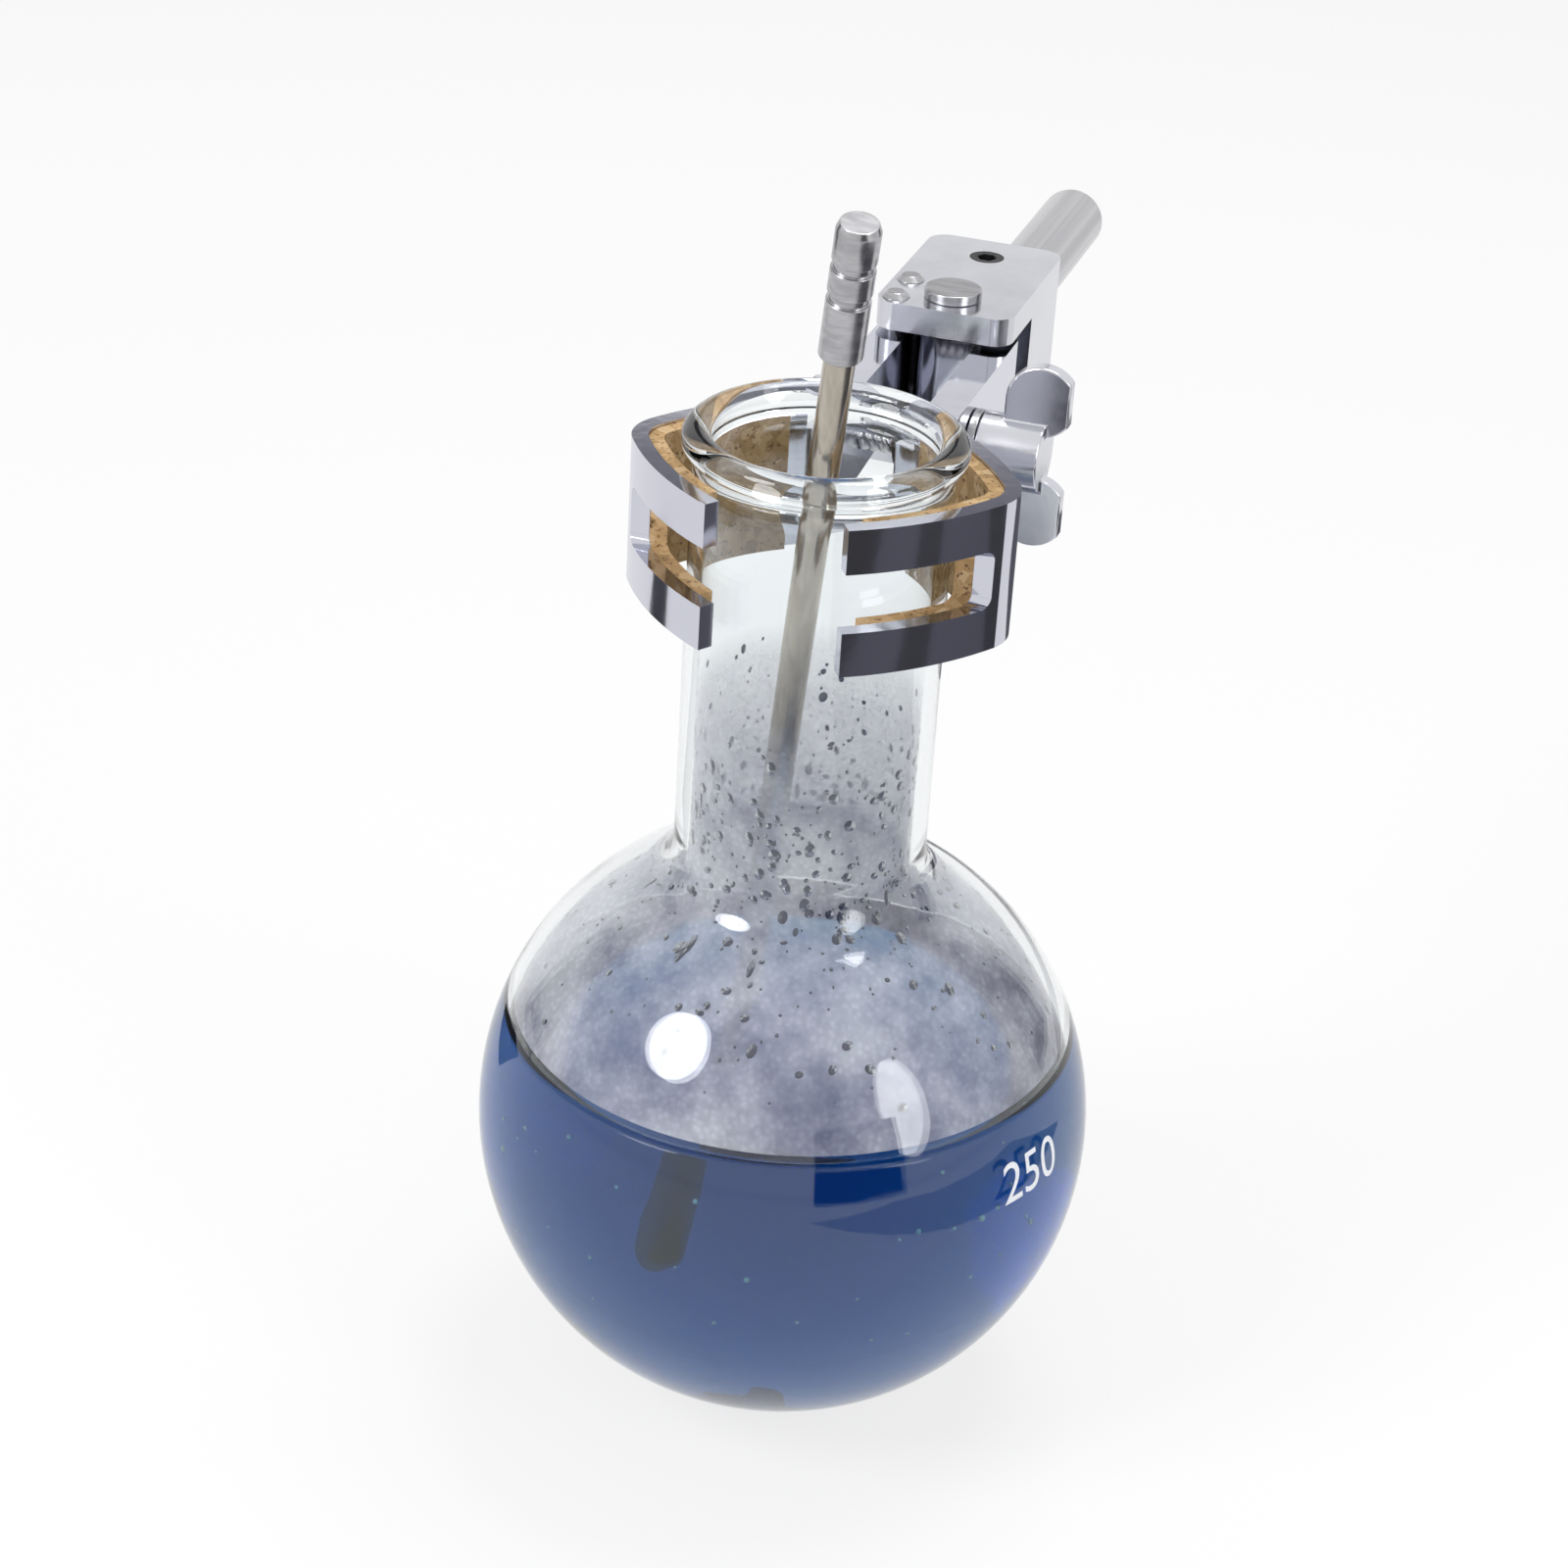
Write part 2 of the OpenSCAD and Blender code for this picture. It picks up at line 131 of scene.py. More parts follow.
def turned(name, profile, segments, material, body, closed=False):  # lathe of (r, z) points in mm about Z
    vertices, faces, rings = [], [], []
    for r, z in profile:
        if r < 1e-6:
            rings.append([len(vertices)] * segments)
            vertices.append((0, 0, z * mm))
            continue
        rings.append([len(vertices) + i for i in range(segments)])
        for i in range(segments):
            turn = 2 * math.pi * i / segments
            vertices.append((r * mm * math.cos(turn), r * mm * math.sin(turn), z * mm))
    pairs = list(zip(rings, rings[1:]))
    if closed:
        pairs.append((rings[-1], rings[0]))
    for low, high in pairs:
        for i in range(segments):
            j = (i + 1) % segments
            face = []
            for index in (low[i], low[j], high[j], high[i]):
                if index not in face:
                    face.append(index)
            faces.append(face)
    return meshPiece(name, vertices, faces, material, body)


def arc(cx, cz, r, start, end, steps):  # points on an arc in the (r, z) plane, degrees
    points = []
    for i in range(steps + 1):
        turn = math.radians(start + (end - start) * i / steps)
        points.append((cx + r * math.cos(turn), cz + r * math.sin(turn)))
    return points


def softened(nodeName, material, width, body, segments=3):  # the node's form with its sharp edges rounded
    source = nodes[nodeName]
    piece = bpy.data.objects.new(nodeName + "_finish", source.data.copy())
    bpy.context.collection.objects.link(piece)
    shape = bmesh.new()
    shape.from_mesh(piece.data)
    bmesh.ops.remove_doubles(shape, verts=shape.verts, dist=0.002 * mm)
    bmesh.ops.dissolve_limit(shape, angle_limit=math.radians(0.5), verts=shape.verts, edges=shape.edges)
    for face in shape.faces:
        face.smooth = True
    shape.to_mesh(piece.data)
    shape.free()
    if piece.data.has_custom_normals:
        with bpy.context.temp_override(object=piece, active_object=piece, selected_objects=[piece]):
            bpy.ops.mesh.customdata_custom_splitnormals_clear()
    edge = piece.modifiers.new("edgeRound", "BEVEL")
    edge.width = width * mm
    edge.segments = segments
    edge.limit_method = "ANGLE"
    edge.angle_limit = math.radians(40)
    edge.use_clamp_overlap = True
    edge.harden_normals = True
    piece.data.materials.clear()
    piece.data.materials.append(material)
    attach(piece, body)
    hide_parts(nodeName)
    return piece


def setNodeMaterial(nodeName, material):
    for slot in nodes[nodeName].material_slots:
        slot.material = material


# condensate on the inside of the glass, from the solution up into the neck: heights in mm, cover by height
fog = {"lowZ": 59.0, "highZ": 111.0, "gap": 0.14, "steps": 70, "segments": 160,
       "drops": 900, "streaks": 22,
       "cover": [(0.0, 0.95), (0.5, 0.9), (0.8, 0.62), (0.9, 0.45), (1.0, 0.0)]}


# materials

def makeBorosilicate():  # flame-worked borosilicate: colourless, glossy, faint draw lines in the wall
    material, tree, shader = newMaterial("borosilicateClear")
    setShader(shader, Base_Color=srgb("#f7fafb"), Roughness=0.0, IOR=1.473, Transmission_Weight=1.0)
    waves = surfacePattern(tree, "ShaderNodeTexNoise", 60, (1, 1, 0.35), Detail=1.0)  # 17 mm draw lines
    bump(tree, shader, waves.outputs["Fac"], 0.12, 0.0006)
    return material


def makeBlueSolution():  # clear copper-blue liquid: deep where thick, cyan where light passes through
    material, tree, shader = newMaterial("blueSolution")
    setShader(shader, Base_Color=srgb("#dcf4fc"), Roughness=0.0, IOR=1.34, Transmission_Weight=1.0)
    absorb = addNode(tree, "ShaderNodeVolumeAbsorption", {"Color": srgb("#00c6e4"), "Density": 104.0})
    output = tree.nodes["Material Output"]
    tree.links.new(absorb.outputs["Volume"], output.inputs["Volume"])
    ripples = surfacePattern(tree, "ShaderNodeTexNoise", 110, Detail=1.5)  # 9 mm stirring ripples
    bump(tree, shader, ripples.outputs["Fac"], 0.15, 0.0008)
    return material


def makeCondensate():  # fog of fine drops on the inside: milky grey-violet, patchy, thinning towards the top
    material, tree, shader = newMaterial("condensateFog")
    cloud = surfacePattern(tree, "ShaderNodeTexNoise", 55, Detail=5.0, Roughness=0.62)  # 18 mm clouds
    beads = surfacePattern(tree, "ShaderNodeTexVoronoi", 1100)  # 0.9 mm beads, coarser than real fog
    shades = [(0.3, srgb("#8e8ca4")), (0.48, srgb("#c2c0d0")), (0.62, srgb("#efeef6"))]
    tint = ramp(tree, cloud.outputs["Fac"], shades)
    coords = addNode(tree, "ShaderNodeTexCoord")
    parts = addNode(tree, "ShaderNodeSeparateXYZ", links={"Vector": coords.outputs["Object"]})
    span = {"From Min": fog["lowZ"] * mm, "From Max": fog["highZ"] * mm}
    height = addNode(tree, "ShaderNodeMapRange", span, {"Value": parts.outputs["Z"]})
    fade = ramp(tree, height.outputs["Result"], [(level, grey(cover)) for level, cover in fog["cover"]])
    patch = ramp(tree, cloud.outputs["Fac"], [(0.3, grey(0.62)), (0.5, grey(1))])
    gaps = ramp(tree, beads.outputs["Distance"], [(0.0, grey(1)), (0.6, grey(0.78))])
    cover = product(tree, fade.outputs["Color"], patch.outputs["Color"])
    alpha = product(tree, cover, gaps.outputs["Color"])
    tree.links.new(tint.outputs["Color"], shader.inputs["Base Color"])
    tree.links.new(alpha, shader.inputs["Alpha"])
    setShader(shader, Roughness=0.38, IOR=1.333)
    bump(tree, shader, beads.outputs["Distance"], 0.5, 0.0003)
    return material


def makeDropsPaintedShade():  # drops of condensate: small lenses in painted shade, a dark grey colour that makes them darker than the fog around them
    material, tree, shader = newMaterial("dropsPaintedShade")
    # painted shade: the dark grey base colour stands in for the darkness seen through clear drops
    setShader(shader, Base_Color=srgb("#62647c"), Roughness=0.05, IOR=1.333, Transmission_Weight=0.6)
    skin = surfacePattern(tree, "ShaderNodeTexNoise", 900, Detail=1.0)
    bump(tree, shader, skin.outputs["Fac"], 0.1, 0.0001)
    return material


def makeBubblesPaintedGlint():  # air in the liquid: beads with a painted glint, their bright cyan colour painted on
    material, tree, shader = newMaterial("bubblesPaintedGlint")
    skin = surfacePattern(tree, "ShaderNodeTexNoise", 1500)
    # painted glint: the light cyan colours stand in for the light the bubbles catch
    tint = ramp(tree, skin.outputs["Fac"], [(0.3, srgb("#7fd6f2")), (0.7, srgb("#d2f2fb"))])
    tree.links.new(tint.outputs["Color"], shader.inputs["Base Color"])
    setShader(shader, Roughness=0.05, IOR=1.34, Transmission_Weight=0.3)
    return material


def makeEnamelPrint():  # fired white enamel: flat white, slightly grainy from the screen
    material, tree, shader = newMaterial("enamelPrint")
    grain = surfacePattern(tree, "ShaderNodeTexNoise", 3000, Detail=2.0)  # 0.3 mm screen grain
    tint = ramp(tree, grain.outputs["Fac"], [(0.2, srgb("#d7dbe2")), (0.6, srgb("#f2f4f7"))])
    tree.links.new(tint.outputs["Color"], shader.inputs["Base Color"])
    roughnessFrom(tree, shader, grain.outputs["Fac"], 0.35, 0.55)
    return material


def makeChrome(name, tone, rough):  # bright chrome over a polished casting: mirror with a soft ripple
    material, tree, shader = newMaterial(name)
    setShader(shader, Base_Color=srgb(tone), Metallic=1.0)
    smear = surfacePattern(tree, "ShaderNodeTexNoise", 160, Detail=6.0, Roughness=0.7)  # 6 mm handling haze
    roughnessFrom(tree, shader, smear.outputs["Fac"], rough * 0.5, rough * 2.0)
    peel = surfacePattern(tree, "ShaderNodeTexNoise", 420, Detail=2.0)  # 2.4 mm ripple left by polishing
    bump(tree, shader, peel.outputs["Fac"], 0.06, 0.0001)
    return material


def makeCork():  # cut cork sheet: warm brown granules, dark pores, dry and matt
    material, tree, shader = newMaterial("corkSheet")
    grains = surfacePattern(tree, "ShaderNodeTexVoronoi", 620)  # 1.6 mm granules
    pores = surfacePattern(tree, "ShaderNodeTexNoise", 1500, Detail=4.0)  # 0.7 mm pores
    browns = [(0.1, srgb("#a5855a")), (0.5, srgb("#bd9a6c")), (0.9, srgb("#d2b48a"))]
    cells = ramp(tree, grains.outputs["Color"], browns)
    holes = ramp(tree, pores.outputs["Fac"], [(0.32, srgb("#6b4520")), (0.42, grey(1))])
    tint = addNode(tree, "ShaderNodeMix", {"data_type": "RGBA", "blend_type": "MULTIPLY", 0: 0.85})
    tree.links.new(cells.outputs["Color"], tint.inputs[6])
    tree.links.new(holes.outputs["Color"], tint.inputs[7])
    tree.links.new(tint.outputs[2], shader.inputs["Base Color"])
    roughnessFrom(tree, shader, pores.outputs["Fac"], 0.75, 0.95)
    bump(tree, shader, pores.outputs["Fac"], 0.6, 0.0003)
    return material


def makeSteel(name, tone, light, low, high, stretch):  # drawn or turned steel: fine lines, satin shine
    material, tree, shader = newMaterial(name)
    lines = surfacePattern(tree, "ShaderNodeTexNoise", 900, stretch, Detail=3.0)  # 1.1 mm lines, coarse
    shade = ramp(tree, lines.outputs["Fac"], [(0.35, srgb(tone)), (0.65, srgb(light))])
    tree.links.new(shade.outputs["Color"], shader.inputs["Base Color"])
    setShader(shader, Metallic=1.0)
    roughnessFrom(tree, shader, lines.outputs["Fac"], low, high)
    bump(tree, shader, lines.outputs["Fac"], 0.06, 0.00005)
    return material


def makeDull(name, low, high, rough, scale, metallic=0.0):  # moulded, sintered or blackened: quiet, even
    material, tree, shader = newMaterial(name)
    mottle = surfacePattern(tree, "ShaderNodeTexNoise", scale, Detail=4.0)
    tint = ramp(tree, mottle.outputs["Fac"], [(0.3, srgb(low)), (0.7, srgb(high))])
    tree.links.new(tint.outputs["Color"], shader.inputs["Base Color"])
    setShader(shader, Metallic=metallic)
    roughnessFrom(tree, shader, mottle.outputs["Fac"], rough * 0.8, rough * 1.2)
    bump(tree, shader, mottle.outputs["Fac"], 0.2, 0.0001)
    return material


borosilicate = makeBorosilicate()
blueSolution = makeBlueSolution()
condensate = makeCondensate()
dropsPaintedShade = makeDropsPaintedShade()
bubblesPaintedGlint = makeBubblesPaintedGlint()
enamelPrint = makeEnamelPrint()
jawChrome = makeChrome("jawChrome", "#c9cad4", 0.07)
hubChrome = makeChrome("hubChrome", "#cfd0d6", 0.14)
cork = makeCork()
probeSteel = makeSteel("probeSteel", "#a9a296", "#b9b3a8", 0.16, 0.22, (1, 1, 0.01))
rodSteel = makeSteel("rodSteel", "#aeaeb2", "#bfbfc2", 0.16, 0.24, (1, 0.01, 1))
screwSteel = makeSteel("screwSteel", "#a2a2a5", "#bababd", 0.2, 0.3, (0.2, 1, 1))
blackOxide = makeDull("blackOxide", "#18181a", "#2c2c2f", 0.4, 500, 0.6)
whitePtfe = makeDull("whitePtfe", "#e9e9e4", "#f6f6f2", 0.42, 300)
moldedNylon = makeDull("moldedNylon", "#dcdcd6", "#ecece8", 0.5, 500)
sinteredMagnet = makeDull("sinteredMagnet", "#3a3a3e", "#55555a", 0.5, 900, 0.7)
ceramicFill = makeDull("ceramicFill", "#cfc6b2", "#e6dfce", 0.7, 900)
print("materials made")


# flask: sizes in mm, the same as the frame's

flask = {"bulbR": 42.5, "neckR": 17.0, "height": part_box("flask_glass")[1][2] / mm, "wall": 2.0,
         "beadR": 2.0, "beadRing": 16.5, "blendR": 8.0, "neckStart": 80.0,
         "segments": 192, "unevenness": 0.07, "unevenScale": 70}
flask["blendX"] = flask["neckR"] + flask["blendR"]
flask["blendZ"] = flask["bulbR"] + math.sqrt((flask["bulbR"] + flask["blendR"]) ** 2 - flask["blendX"] ** 2)
flask["blendTurn"] = math.degrees(math.atan2(flask["blendZ"] - flask["bulbR"], flask["blendX"]))


def wallOutline(inset, lowAngle=-90.0, topZ=None, steps=64):  # bulb, blend and neck from the bottom up
    f = flask
    points = arc(0, f["bulbR"], f["bulbR"] - inset, lowAngle, f["blendTurn"], steps)
    points += arc(f["blendX"], f["blendZ"], f["blendR"] + inset, 180 + f["blendTurn"], 180, 16)[1:]
    if topZ:
        points += [(f["neckR"] - inset, f["blendZ"] + (topZ - f["blendZ"]) * i / 14) for i in range(1, 15)]
    return points


def buildFlask():
    f = flask
    beadZ = f["height"] - f["beadR"]
    outX = f["neckR"] - f["beadRing"]
    inX = f["neckR"] - f["wall"] - f["beadRing"]
    outAngle = -math.degrees(math.acos(outX / f["beadR"]))
    inAngle = 360 - math.degrees(math.acos(inX / f["beadR"]))
    bead = arc(f["beadRing"], beadZ, f["beadR"], outAngle, inAngle, 30)
    outer = wallOutline(0, topZ=bead[0][1])[:-1]
    inner = wallOutline(f["wall"], topZ=bead[-1][1])[:-1]
    profile = [(0 if r < 1e-4 else r, z) for r, z in outer + bead + inner[::-1]]
    piece = turned("flask_wall", profile, f["segments"], borosilicate, "flask_and_frame")
    for vertex in piece.data.vertices:  # the inner wall is never quite even
        p = vertex.co
        reach = math.hypot(p.x, p.y)
        middle = Vector((0, 0, min(p.z, f["bulbR"] * mm)))
        inBulb = (p - Vector((0, 0, f["bulbR"] * mm))).length < (f["bulbR"] - 1) * mm
        inside = inBulb if p.z < f["neckStart"] * mm else reach < (f["neckR"] - 1) * mm
        if inside and reach > 1e-6:
            away = (p - middle).normalized()
            vertex.co = p + away * f["unevenness"] * mm * noise.noise(p * f["unevenScale"])
    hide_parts("flask_glass")
    return piece


buildFlask()
print("flask built")


# solution with its meniscus

# the meniscus climbs the wall and dies away over its width; the liquid enters the glass a little to wet it
solution = {"fillZ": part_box("solution")[1][2] / mm, "intoGlass": 0.25, "meniscus": 1.3, "width": 4.68,
            "falloff": 1.092, "meniscusSteps": 12, "flatSteps": 8}


def buildSolution():
    s, f = solution, flask
    inR = f["bulbR"] - f["wall"] + s["intoGlass"]
    topZ = s["fillZ"] + s["meniscus"]
    topAngle = math.degrees(math.asin((topZ - f["bulbR"]) / inR))
    profile = arc(0, f["bulbR"], inR, -90, topAngle, 60)
    edgeR = profile[-1][0] - s["intoGlass"]
    for i in range(1, s["meniscusSteps"] + 1):
        share = i / s["meniscusSteps"]
        back = s["width"] * share
        climb = s["meniscus"] * math.exp(-back / s["falloff"]) * (1 - share)
        profile.append((edgeR - back, s["fillZ"] + climb))
    for i in range(1, s["flatSteps"] + 1):
        profile.append(((edgeR - s["width"]) * (1 - i / s["flatSteps"]), s["fillZ"]))
    profile = [(0 if r < 1e-4 else r, z) for r, z in profile]
    piece = turned("solution_body", profile, f["segments"], blueSolution, "flask_and_frame")
    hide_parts("solution")


buildSolution()
print("solution built")


# condensate: a fog film and drops on the inside of the wall


bubbles = {"count": 70, "small": 0.18, "large": 0.5, "lowZ": 30.0, "belowLine": 1.5, "wallGap": 0.4,
           "around": 12, "levels": 6}


def innerRadius(z, inset):  # radius of the inner wall at height z
    f = flask
    joinZ = f["bulbR"] + (f["bulbR"] - inset) * math.sin(math.radians(f["blendTurn"]))
    if z < joinZ:
        return math.sqrt(max((f["bulbR"] - inset) ** 2 - (z - f["bulbR"]) ** 2, 0))
    if z < f["blendZ"]:
        return f["blendX"] - math.sqrt((f["blendR"] + inset) ** 2 - (f["blendZ"] - z) ** 2)
    return f["neckR"] - inset


def buildFogFilm():
    inset = flask["wall"] + fog["gap"]
    steps = fog["steps"]
    profile = []
    for i in range(steps + 1):
        z = fog["lowZ"] + (fog["highZ"] - fog["lowZ"]) * i / steps
        profile.append((innerRadius(z, inset), z))
    piece = turned("condensate_film", profile, fog["segments"], condensate, "flask_and_frame")


# drops and streaks: sizes in mm, places along the wall by height, and how flat they sit on it
drop = {"inset": 0.1, "around": 10, "levels": 4, "z": (60, 110, 88), "small": 0.16, "spread": 0.62,
        "tall": (0.8, 1.5), "streakZ": (74, 98), "streakSize": (0.3, 0.55), "streakTall": (2.2, 4.2),
        "wobble": 0.12, "dome": 0.45, "sunk": 0.05, "peak": 0.4}


def buildDrops():
    inset = flask["wall"] + drop["inset"]
    vertices, faces = [], []
    around, levels = drop["around"], drop["levels"]
    for index in range(fog["drops"]):
        streak = index < fog["streaks"]
        z = rng.uniform(*drop["streakZ"]) if streak else rng.triangular(*drop["z"])
        turn = rng.uniform(0, 2 * math.pi)
        if streak:
            size = rng.uniform(*drop["streakSize"])
        else:
            size = drop["small"] + drop["spread"] * rng.random() ** 3
        tall = rng.uniform(*drop["streakTall" if streak else "tall"])
        r = innerRadius(z, inset)
        low = Vector((innerRadius(z - 0.5, inset), 0, z - 0.5))
        high = Vector((innerRadius(z + 0.5, inset), 0, z + 0.5))
        up = (high - low).normalized()
        inward = Vector((-up.z, 0, up.x)).normalized()
        spin = Matrix.Rotation(turn, 3, "Z")
        center = spin @ Vector((r, 0, z))
        side = spin @ Vector((0, 1, 0))
        up, inward = spin @ up, spin @ inward
        first = len(vertices)
        wobble = [1 + drop["wobble"] * math.sin(k * 2 * math.pi / around * 2 + index) for k in range(around)]
        for level in range(levels):
            lift = math.pi / 2 * level / levels
            rise = drop["dome"] * size * math.sin(lift) - drop["sunk"]
            for k in range(around):
                a = 2 * math.pi * k / around
                ring = math.cos(lift) * size * wobble[k]
                flat = center + side * ring * math.cos(a) + up * ring * tall * math.sin(a)
                p = flat + inward * rise
                vertices.append(tuple(p * mm))
        top = len(vertices)
        vertices.append(tuple((center + inward * drop["peak"] * size) * mm))
        for level in range(levels - 1):
            for k in range(around):
                n = (k + 1) % around
                a, b = first + level * around, first + (level + 1) * around
                faces.append((a + k, a + n, b + n, b + k))
        last = first + (levels - 1) * around
        for k in range(around):
            faces.append((last + k, last + (k + 1) % around, top))
        faces.append(tuple(first + k for k in reversed(range(around))))
    piece = meshPiece("condensate_drops", vertices, faces, dropsPaintedShade, "flask_and_frame")


def buildBubbles():  # a few small air bubbles under the liquid line, on the inside of the wall
    vertices, faces = [], []
    around, levels = bubbles["around"], bubbles["levels"]
    for index in range(bubbles["count"]):
        r = bubbles["small"] + (bubbles["large"] - bubbles["small"]) * rng.random() ** 2
        z = rng.uniform(bubbles["lowZ"], solution["fillZ"] - bubbles["belowLine"])
        turn = rng.uniform(0, 2 * math.pi)
        reach = innerRadius(z, flask["wall"] + bubbles["wallGap"] + r)
        center = Vector((reach * math.cos(turn), reach * math.sin(turn), z))
        first = len(vertices)
        for level in range(levels + 1):
            lift = -math.pi / 2 + math.pi * level / levels
            for k in range(around):
                a = 2 * math.pi * k / around
                out = Vector((math.cos(lift) * math.cos(a), math.cos(lift) * math.sin(a), math.sin(lift)))
                vertices.append(tuple((center + out * r) * mm))
        for level in range(levels):
            for k in range(around):
                a, b = first + level * around, first + (level + 1) * around
                n = (k + 1) % around
                faces.append((a + k, a + n, b + n, b + k))
    piece = meshPiece("air_bubbles", vertices, faces, bubblesPaintedGlint, "flask_and_frame")


buildFogFilm()
buildDrops()
buildBubbles()
print("condensate built")


# volume mark: plain numerals of fired enamel that follow the bulb

mark = {"text": "250", "height": 6.2, "turn": -20.0, "tilt": 11.0, "proud": 0.03, "fontShare": 1.35}


def buildMark():
    curve = bpy.data.curves.new("volumeMark", "FONT")
    curve.body = mark["text"]
    curve.size = mark["height"] * mark["fontShare"]
    curve.align_x = "CENTER"
    curve.align_y = "CENTER"
    holder = bpy.data.objects.new("volumeMark", curve)
    bpy.context.collection.objects.link(holder)
    flat = bpy.data.meshes.new_from_object(holder.evaluated_get(bpy.context.evaluated_depsgraph_get()))
    bpy.data.objects.remove(holder)
    shape = bmesh.new()
    shape.from_mesh(flat)
    bmesh.ops.triangulate(shape, faces=shape.faces)
    bmesh.ops.subdivide_edges(shape, edges=shape.edges, cuts=2, use_grid_fill=True)
    r = flask["bulbR"] + mark["proud"]
    vertices = []
    for vertex in shape.verts:
        turn = math.radians(mark["turn"]) + vertex.co.x / r
        lift = math.radians(mark["tilt"]) + vertex.co.y / r
        vertices.append((r * math.cos(lift) * math.cos(turn) * mm, r * math.cos(lift) * math.sin(turn) * mm,
                         (flask["bulbR"] + r * math.sin(lift)) * mm))
    faces = [tuple(v.index for v in face.verts) for face in shape.faces]
    shape.free()
    piece = meshPiece("volume_mark", vertices, faces, enamelPrint, "flask_and_frame")


buildMark()
print("volume mark built")


# clamp: every metal piece keeps its form and gets rounded edges

softened("left_jaw", jawChrome, 0.45, "flask_and_frame")
softened("right_jaw", jawChrome, 0.45, "moving_jaw")
softened("clamp_hub", hubChrome, 0.8, "flask_and_frame", 4)
softened("left_cork", cork, 0.2, "flask_and_frame", 2)
softened("right_cork", cork, 0.2, "moving_jaw", 2)
softened("clamp_rod", rodSteel, 0.25, "flask_and_frame", 2)
softened("screw_wing", hubChrome, 0.5, "wing_screw")
softened("thrust_washer", screwSteel, 0.15, "screw_washer", 2)
softened("pivot_pin", screwSteel, 0.25, "flask_and_frame", 2)
softened("jaw_rivets", screwSteel, 0.12, "flask_and_frame", 2)
softened("retaining_ring", blackOxide, 0.12, "wing_screw", 2)
softened("pivot_clip", blackOxide, 0.1, "flask_and_frame", 2)
softened("pivot_washers", moldedNylon, 0.08, "flask_and_frame", 2)
softened("rod_set_screw", blackOxide, 0.1, "flask_and_frame", 2)
softened("probe_sleeve", screwSteel, 0.12, "probe", 2)
softened("stir_bar_jacket", whitePtfe, 0.3, "stir_bar", 3)
setNodeMaterial("probe_sheath", probeSteel)
setNodeMaterial("probe_sensor", ceramicFill)
setNodeMaterial("probe_core", ceramicFill)
setNodeMaterial("stir_bar_magnet", sinteredMagnet)
print("clamp, probe and stirring bar finished")


# clamp screw with its two-start thread

thread = {"lead": 3.0, "starts": 2, "crestR": 3.0, "rootR": 2.62, "perTurn": 40, "rows": 6,
          "taper": 0.8, "taperDepth": 0.5}


def buildThread():
    low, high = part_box("clamp_screw")
    t = thread
    length = (high[0] - low[0]) / mm
    centerY = (low[1] + high[1]) / 2
    centerZ = (low[2] + high[2]) / 2
    pitch = t["lead"] / t["starts"]
    count = int(length / pitch * t["rows"])
    vertices, faces = [], []
    for row in range(count + 1):
        x = length * row / count
        taper = min(1.0, x / t["taper"], (length - x) / t["taper"])
        for k in range(t["perTurn"]):
            a = 2 * math.pi * k / t["perTurn"]
            phase = (x / pitch - t["starts"] * k / t["perTurn"]) % 1.0
            ridge = min(1.0, max(0.0, 2.0 - abs(phase - 0.5) * 6))
            r = t["rootR"] + (t["crestR"] - t["rootR"]) * ridge - t["taperDepth"] * (1 - taper)
            y, z = r * mm * math.cos(a), r * mm * math.sin(a)
            vertices.append((low[0] + x * mm, centerY + y, centerZ + z))
    n = t["perTurn"]
    for row in range(count):
        for k in range(n):
            a, b = row * n, (row + 1) * n
            faces.append((a + k, a + (k + 1) % n, b + (k + 1) % n, b + k))
    faces.append(tuple(reversed(range(n))))
    faces.append(tuple(count * n + k for k in range(n)))
    piece = meshPiece("clamp_screw_thread", vertices, faces, screwSteel, "wing_screw")
    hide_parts("clamp_screw")


buildThread()
print("thread cut")


# studio: floor, backdrop light, soft boxes and dark flags

studio = {"floorSize": 6.0, "key": 5.5, "fill": 2.2, "top": 3.4, "ambient": 0.5,
          "glow": 0.78, "aim": (0, 0.02, 0.08)}


def rayMask(tree):  # 1 for camera, mirror and see-through rays
    light = addNode(tree, "ShaderNodeLightPath")
    camera, glossy = light.outputs["Is Camera Ray"], light.outputs["Is Glossy Ray"]
    through = light.outputs["Is Transmission Ray"]
    first = addNode(tree, "ShaderNodeMath", {"operation": "MAXIMUM"}, {0: camera, 1: glossy})
    return addNode(tree, "ShaderNodeMath", {"operation": "MAXIMUM"}, {0: first.outputs[0], 1: through})


def plainSheet(name, corners, material):
    mesh = bpy.data.meshes.new(name)
    mesh.from_pydata(corners, [], [tuple(range(len(corners)))])
    sheet = bpy.data.objects.new(name, mesh)
    bpy.context.collection.objects.link(sheet)
    mesh.materials.append(material)
    return sheet


def buildFloor():
    material = bpy.data.materials.new("paperFloor")
    material.use_nodes = True
    tree = material.node_tree
    tree.nodes.clear()
    mask = rayMask(tree)
    glowing = {"operation": "MULTIPLY", 1: studio["glow"]}
    share = addNode(tree, "ShaderNodeMath", glowing, {0: mask.outputs[0]})
    paper = addNode(tree, "ShaderNodeBsdfDiffuse", {"Color": (0.88, 0.88, 0.9, 1)})
    glow = addNode(tree, "ShaderNodeEmission", {"Color": (1, 1, 1, 1), "Strength": 1.0})
    mixed = {0: share.outputs[0], 1: paper.outputs[0], 2: glow.outputs[0]}
    mix = addNode(tree, "ShaderNodeMixShader", links=mixed)
    addNode(tree, "ShaderNodeOutputMaterial", links={"Surface": mix.outputs[0]})
    s = studio["floorSize"] / 2
    plainSheet("floor", [(-s, -s, 0), (s, -s, 0), (s, s, 0), (-s, s, 0)], material)


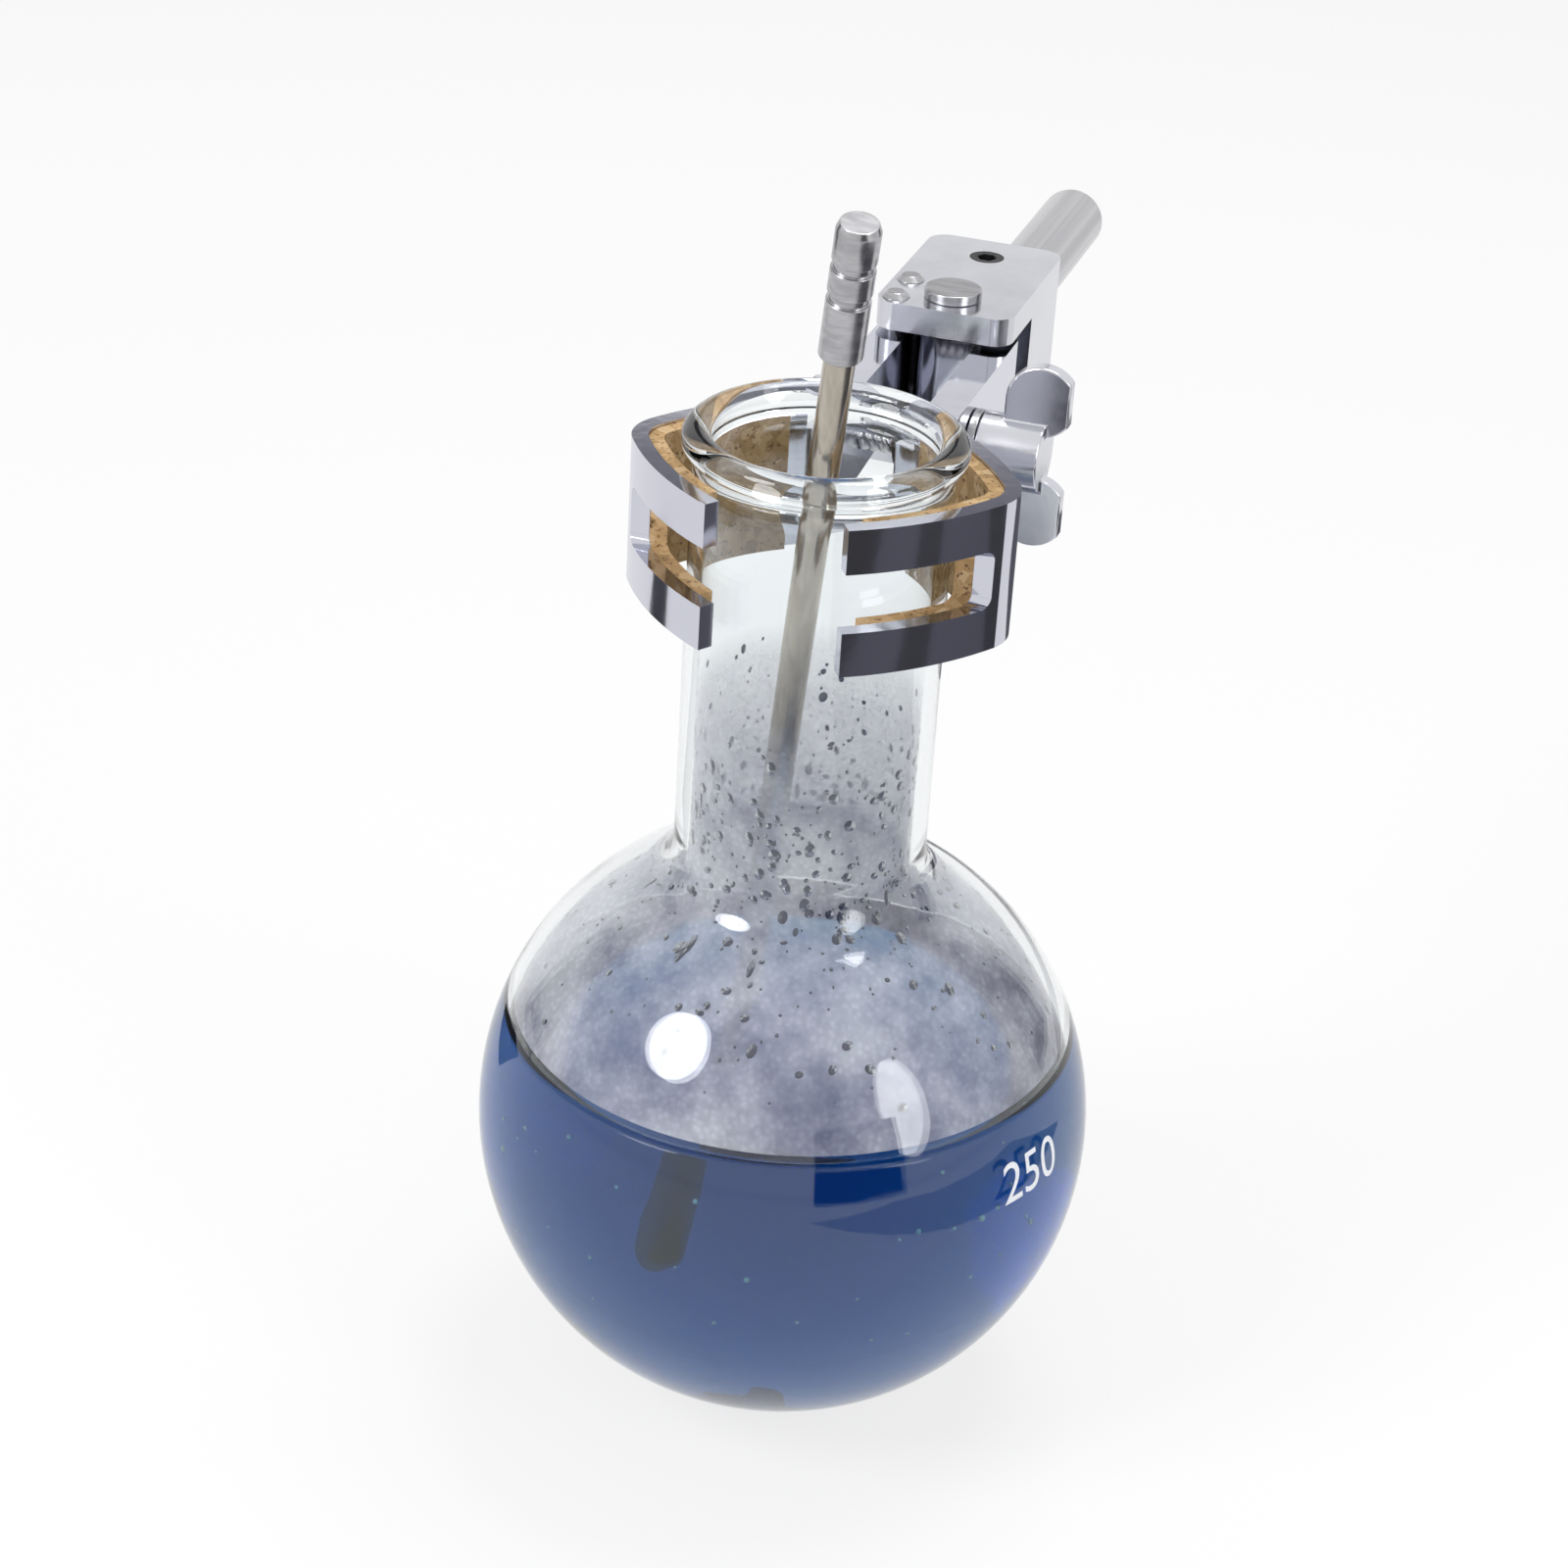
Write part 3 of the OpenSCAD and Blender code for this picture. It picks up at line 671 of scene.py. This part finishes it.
# a card that the camera doesn't see and that casts no shadow; metal and glass mirror it
def buildFlag(name, center, width, height, facing, tone, seenThroughGlass=True):
    material, tree, shader = newMaterial(name + "Cloth")
    setShader(shader, Base_Color=srgb(tone), Roughness=0.9)
    out = Vector(facing).normalized()
    side = out.cross(Vector((0, 0, 1))).normalized() * width / 2
    up = side.cross(out).normalized() * height / 2
    c = Vector(center)
    card = plainSheet(name, [c - side - up, c + side - up, c + side + up, c - side + up], material)
    card.visible_camera = False
    card.visible_shadow = False
    card.visible_diffuse = False
    card.visible_transmission = seenThroughGlass


def addSoftBox(name, place, size, power):
    data = bpy.data.lights.new(name, "AREA")
    data.shape = "ELLIPSE"
    data.size, data.size_y = size
    data.energy = power
    lamp = bpy.data.objects.new(name, data)
    bpy.context.collection.objects.link(lamp)
    lamp.location = place
    lamp.rotation_euler = (Vector(studio["aim"]) - Vector(place)).to_track_quat("-Z", "Y").to_euler()


def buildWorld():
    world = bpy.data.worlds.new("studioLight")
    bpy.context.scene.world = world
    world.use_nodes = True
    tree = world.node_tree
    tree.nodes.clear()
    mask = rayMask(tree)
    plain = addNode(tree, "ShaderNodeBackground", {"Color": (1, 1, 1, 1), "Strength": studio["ambient"]})
    white = addNode(tree, "ShaderNodeBackground", {"Color": (1, 1, 1, 1), "Strength": 1.0})
    mixed = {0: mask.outputs[0], 1: plain.outputs[0], 2: white.outputs[0]}
    mix = addNode(tree, "ShaderNodeMixShader", links=mixed)
    addNode(tree, "ShaderNodeOutputWorld", links={"Surface": mix.outputs[0]})


buildFloor()
buildWorld()
addSoftBox("keyBox", (-0.55, -0.65, 0.75), (0.45, 0.45), studio["key"])
addSoftBox("fillBox", (0.8, -0.35, 0.45), (0.3, 0.6), studio["fill"])
addSoftBox("topBox", (0.1, 0.25, 1.0), (0.6, 0.3), studio["top"])
buildFlag("rightFlag", (0.42, -0.42, 0.16), 0.34, 0.3, (-1, 1, 0), "#15151a")
buildFlag("leftFlag", (-0.5, 0.1, 0.2), 0.16, 0.5, (1, -0.2, 0), "#2a2a30")
buildFlag("backFlag", (0.45, 0.5, 0.25), 0.2, 0.5, (-1, -1, 0), "#2a2a30")

# cards just over the floor give the jaws their dark bands, and the last one shades the top of the hub
up = (0, 0.001, 1)
mirrored = [
    ("lowCard", (0.27, -0.085, 0.004), 0.26, 0.38, up, "#45454f"),
    ("tipStrip", (0.27, -0.21, 0.006), 0.26, 0.09, up, "#131317"),
    ("middleStrip", (0.27, -0.075, 0.006), 0.26, 0.045, up, "#1c1c22"),
    ("cornerStrip", (0.27, 0.07, 0.006), 0.26, 0.04, up, "#1c1c22"),
    ("backCard", (0.05, 0.27, 0.004), 0.3, 0.1, up, "#50505a"),
    ("leftStrip", (-0.22, 0.06, 0.004), 0.14, 0.05, up, "#2a2a32"),
    ("skyCard", (-0.2, 0.6, 0.5), 0.28, 0.2, (0.23, -0.8, -0.54), "#77777f"),
]
for card in mirrored:
    buildFlag(*card, seenThroughGlass=False)
print("studio set")


# camera: above the rim to the front right of the clamp, leaning a little as the flask does in the bath

view = {"azimuth": 16.0, "reach": 0.4156, "height": 0.3159, "aim": (-0.0096, 0.0234, 0.0800),
        "roll": 3.6, "lens": 81.0}


def placeCamera():
    data = bpy.data.cameras.new("camera")
    data.lens = view["lens"]
    data.sensor_width = 36
    camera = bpy.data.objects.new("camera", data)
    bpy.context.collection.objects.link(camera)
    turn = math.radians(view["azimuth"])
    camera.location = (view["reach"] * math.sin(turn), -view["reach"] * math.cos(turn), view["height"])
    look = (Vector(view["aim"]) - camera.location).to_track_quat("-Z", "Y").to_matrix()
    roll = Matrix.Rotation(math.radians(view["roll"]), 3, "Z")
    camera.rotation_euler = (look @ roll).to_euler()
    bpy.context.scene.camera = camera


placeCamera()
bpy.context.scene.view_settings.view_transform = "Standard"
print("camera placed")
